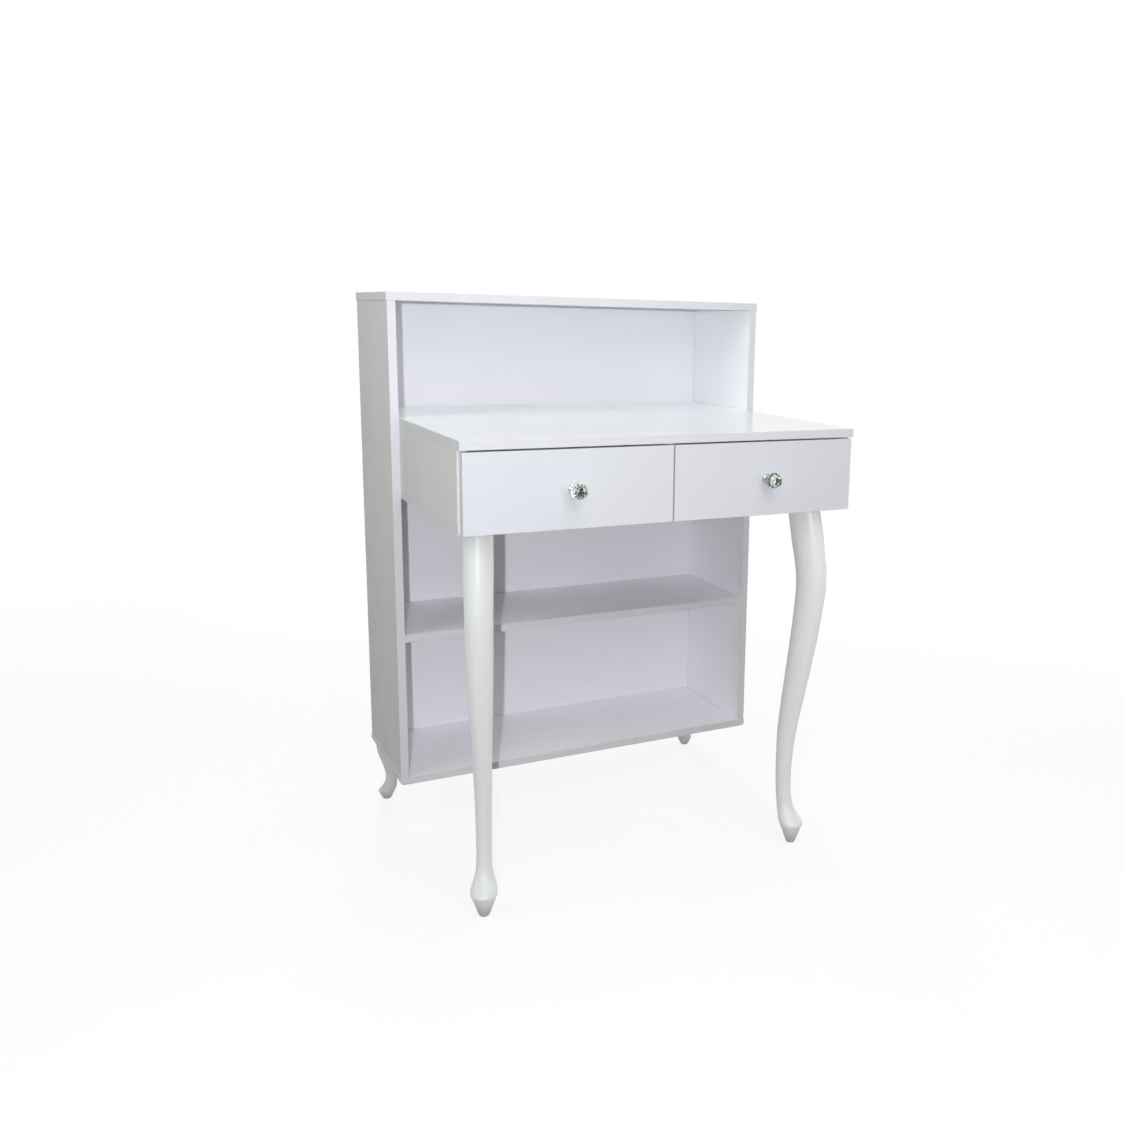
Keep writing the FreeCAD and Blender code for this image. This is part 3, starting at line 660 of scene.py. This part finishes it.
def drivenScrew(bm, place, headRadius, headHeight, shankRadius, length, drive, flat):
    # Z points out of the head, and the head's top is at zero
    shape = screwShape
    made = bmesh.new()
    radius = headRadius if flat else headRadius * shape["panTop"]
    level = 0.0
    top = bmesh.ops.create_circle(made, segments=shape["sides"], radius=radius, cap_ends=False)["verts"]
    loop = edgesAround(top)
    recess = recessLoop(made, drive, headRadius)
    bmesh.ops.triangle_fill(made, use_beauty=True, use_dissolve=False, edges=loop + recess)
    ring, sunk = pulledLoop(made, recess)
    bmesh.ops.translate(made, vec=(0, 0, -headHeight * shape["recessDepth"]), verts=ring)
    bmesh.ops.scale(made, vec=(shape["recessTaper"], shape["recessTaper"], 1), verts=ring)
    bmesh.ops.edgeloop_fill(made, edges=sunk)
    if flat:
        profile = [(headRadius, -headHeight * shape["flatBrim"])]
    else:
        shoulder, drop = shape["panShoulder"]
        profile = [(headRadius * shoulder, -headHeight * drop), (headRadius, -headHeight * shape["panBrim"]),
                   (headRadius, -headHeight)]
    profile += [(shankRadius, -headHeight), (shankRadius, -length * shape["pointStart"]),
                (shankRadius * shape["pointTip"], -length)]
    for nextRadius, nextLevel in profile:
        ring, loop = pulledLoop(made, loop)
        bmesh.ops.translate(made, vec=(0, 0, nextLevel - level), verts=ring)
        bmesh.ops.scale(made, vec=(nextRadius / radius, nextRadius / radius, 1), verts=ring)
        radius, level = nextRadius, nextLevel
    bmesh.ops.edgeloop_fill(made, edges=loop)
    bmesh.ops.recalc_face_normals(made, faces=made.faces)
    bmesh.ops.transform(made, matrix=place, verts=made.verts)
    holder = bpy.data.meshes.new("screw")
    made.to_mesh(holder)
    made.free()
    bm.from_mesh(holder)
    bpy.data.meshes.remove(holder)


def headWay(way, spot):
    if way == "down":
        return Vector((0, 0, -1))
    if way == "back":
        return Vector((0, 1, 0))
    bay = min(bayMiddles, key=lambda x: abs(x - spot.x))
    away = {"middle": -spot.x, "outward": spot.x - bay, "drawer": bay - spot.x}[way]
    return Vector((math.copysign(1, away), 0, 0))


def screwGroup(node, look, body):
    headRadius, headHeight, shankRadius, drive, flat, way = look
    bm = bmesh.new()
    for low, high in solidBoxes(node):
        head = (low + high) / 2
        out = headWay(way, head)
        axis = max(range(3), key=lambda i: abs(out[i]))
        head[axis] = high[axis] if out[axis] > 0 else low[axis]
        place = Matrix.Translation(head) @ out.to_track_quat("Z", "Y").to_matrix().to_4x4()
        drivenScrew(bm, place, headRadius * mm, headHeight * mm, shankRadius * mm, high[axis] - low[axis],
                    drive, flat)
    finishPiece(bm, node, "driven", [screwSteel], body)


for group in ("case_bottom_screws", "case_side_screws", "case_runner_screws"):
    screwGroup(group, screwLook[group], "desk")
for side in sides:
    for group in ("drawer_box_screws", "drawer_front_screws", "drawer_runner_screws", "knob_screw"):
        screwGroup(f"{side}_{group}", screwLook[group], side + "_drawer")
print("screws made")


# fixings that stay hidden in the boards keep their plain solids

hiddenFixings = {"wooden_dowels": beech, "leg_hanger_bolts": screwSteel, "leg_insert_nuts": brass}
for node, material in hiddenFixings.items():
    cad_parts[node].data.materials.clear()
    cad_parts[node].data.materials.append(material)


# floor, light and camera

studio = {
    "floorSize": 14.0, "floorBounce": "#70634F", "floorTop": "#F8F8F8", "floorWhite": 0.84,
    "floorFade": (1.2, 3.2), "ambient": "#FFFCF2", "ambientStrength": 0.12, "backdrop": "#FFFFFF",
    # name: place, point aimed at, size, power, colour
    "lamps": {
        "overhead_softbox": ((0.3, -0.6, 3.0), (0.0, -0.1, 0.6), 2.6, 21.0, "#F6FFFD"),
        "high_softbox": ((-0.3, -2.4, 2.6), (0.0, 0.0, 0.7), 2.0, 25.3, "#FFFBFB"),
        "left_softbox": ((-1.6, -0.3, 1.8), (-0.4, 0.1, 1.3), 0.9, 9.9, "#FBFFF8"),
        "front_softbox": ((0.6, -3.2, 1.2), (0.0, 0.0, 0.6), 1.6, 12.4, "#FFF9F3"),
        "rear_softbox": ((0.45, 3.2, 1.5), (0.0, 0.3, 0.6), 1.0, 54.0, "#FFFFFF"),
        "right_softbox": ((2.9, 1.2, 0.8), (0.4, 0.1, 0.7), 1.4, 32.0, "#FFFFFF"),
        "front_light": ((-1.08, -2.40, 1.14), (0.0, 0.0, 0.7), 0.026, 40.5, "#F3F4FC"),
    },
}


def whiteRays(tree):  # camera, mirror and glass rays all see the white background
    rays = addNode(tree, "LightPath").outputs
    seen = addNode(tree, "Math", {0: rays["Is Camera Ray"], 1: rays["Is Glossy Ray"]}, operation="MAXIMUM")
    white = addNode(tree, "Math", {0: seen.outputs["Value"], 1: rays["Is Transmission Ray"]},
                    operation="MAXIMUM")
    return white.outputs["Value"]


def makeFloor():
    bm = bmesh.new()
    bmesh.ops.create_grid(bm, x_segments=1, y_segments=1, size=studio["floorSize"])
    mesh = bpy.data.meshes.new("floor")
    bm.to_mesh(mesh)
    bm.free()
    material = bpy.data.materials.new("pale_floor")
    material.use_nodes = True
    tree = material.node_tree
    tree.nodes.clear()
    white = whiteRays(tree)
    tint = addNode(tree, "Mix", {mixFactor: white, mixFirst: linear(studio["floorBounce"]),
                                 mixSecond: linear(studio["floorTop"])}, data_type="RGBA")
    lit = addNode(tree, "BsdfDiffuse", {"Color": tint.outputs[mixResult]})
    plain = addNode(tree, "Emission", {"Color": linear(studio["backdrop"]), "Strength": 1.0})
    # near the desk the floor shows its shadow, and further out it runs into the white background
    reach = addNode(tree, "VectorMath", {0: addNode(tree, "TexCoord").outputs["Object"]}, operation="LENGTH")
    fade = addNode(tree, "MapRange", {"Value": reach.outputs["Value"], "From Min": studio["floorFade"][0],
                                      "From Max": studio["floorFade"][1], "To Min": studio["floorWhite"],
                                      "To Max": 1.0}, interpolation_type="SMOOTHSTEP")
    share = addNode(tree, "Math", {0: white, 1: fade.outputs["Result"]}, operation="MULTIPLY")
    mixed = addNode(tree, "MixShader", {0: share.outputs["Value"], 1: lit.outputs["BSDF"],
                                        2: plain.outputs["Emission"]})
    addNode(tree, "OutputMaterial", {"Surface": mixed.outputs["Shader"]})
    mesh.materials.append(material)
    floor = bpy.data.objects.new("floor", mesh)
    bpy.context.scene.collection.objects.link(floor)


def makeWorld():
    world = bpy.data.worlds.new("studio")
    bpy.context.scene.world = world
    world.use_nodes = True
    tree = world.node_tree
    tree.nodes.clear()
    light = addNode(tree, "Background", {"Color": linear(studio["ambient"]),
                                         "Strength": studio["ambientStrength"]})
    plain = addNode(tree, "Background", {"Color": linear(studio["backdrop"]), "Strength": 1.0})
    mixed = addNode(tree, "MixShader", {0: whiteRays(tree), 1: light.outputs["Background"],
                                        2: plain.outputs["Background"]})
    addNode(tree, "OutputWorld", {"Surface": mixed.outputs["Shader"]})


def makeLamp(name, place, aim, size, power, colour):
    lamp = bpy.data.lights.new(name, "AREA")
    lamp.shape = "DISK"
    lamp.size = size
    lamp.energy = power
    lamp.color = linear(colour)[:3]
    item = bpy.data.objects.new(name, lamp)
    item.location = place
    item.rotation_euler = (Vector(aim) - Vector(place)).to_track_quat("-Z", "Y").to_euler()
    bpy.context.scene.collection.objects.link(item)


# place in metres, turns in degrees, focal length and centre in the photo's pixels, sensor in millimetres
photoCamera = {
    "place": (-0.8743, -2.0521, 1.0832), "turn": 29.237, "tilt": -10.899, "roll": 1.510,
    "image": 1123, "focal": 1106.6, "centre": (720, 529.6), "sensor": 36.0,
}


def makeCamera():
    camera = bpy.data.cameras.new("photo_camera")
    side = photoCamera["image"]
    camera.sensor_width = photoCamera["sensor"]
    camera.lens = photoCamera["focal"] / side * photoCamera["sensor"]
    camera.shift_x = 0.5 - photoCamera["centre"][0] / side
    camera.shift_y = photoCamera["centre"][1] / side - 0.5
    item = bpy.data.objects.new("photo_camera", camera)
    turn = Matrix.Rotation(-math.radians(photoCamera["turn"]), 4, "Z")
    tilt = Matrix.Rotation(math.radians(90 + photoCamera["tilt"]), 4, "X")
    roll = Matrix.Rotation(math.radians(photoCamera["roll"]), 4, "Z")
    item.matrix_world = Matrix.Translation(photoCamera["place"]) @ turn @ tilt @ roll
    bpy.context.scene.collection.objects.link(item)
    bpy.context.scene.camera = item


makeFloor()
makeWorld()
makeCamera()
for name, lamp in studio["lamps"].items():
    makeLamp(name, *lamp)
bpy.context.scene.view_settings.view_transform = "Standard"
print("studio made")
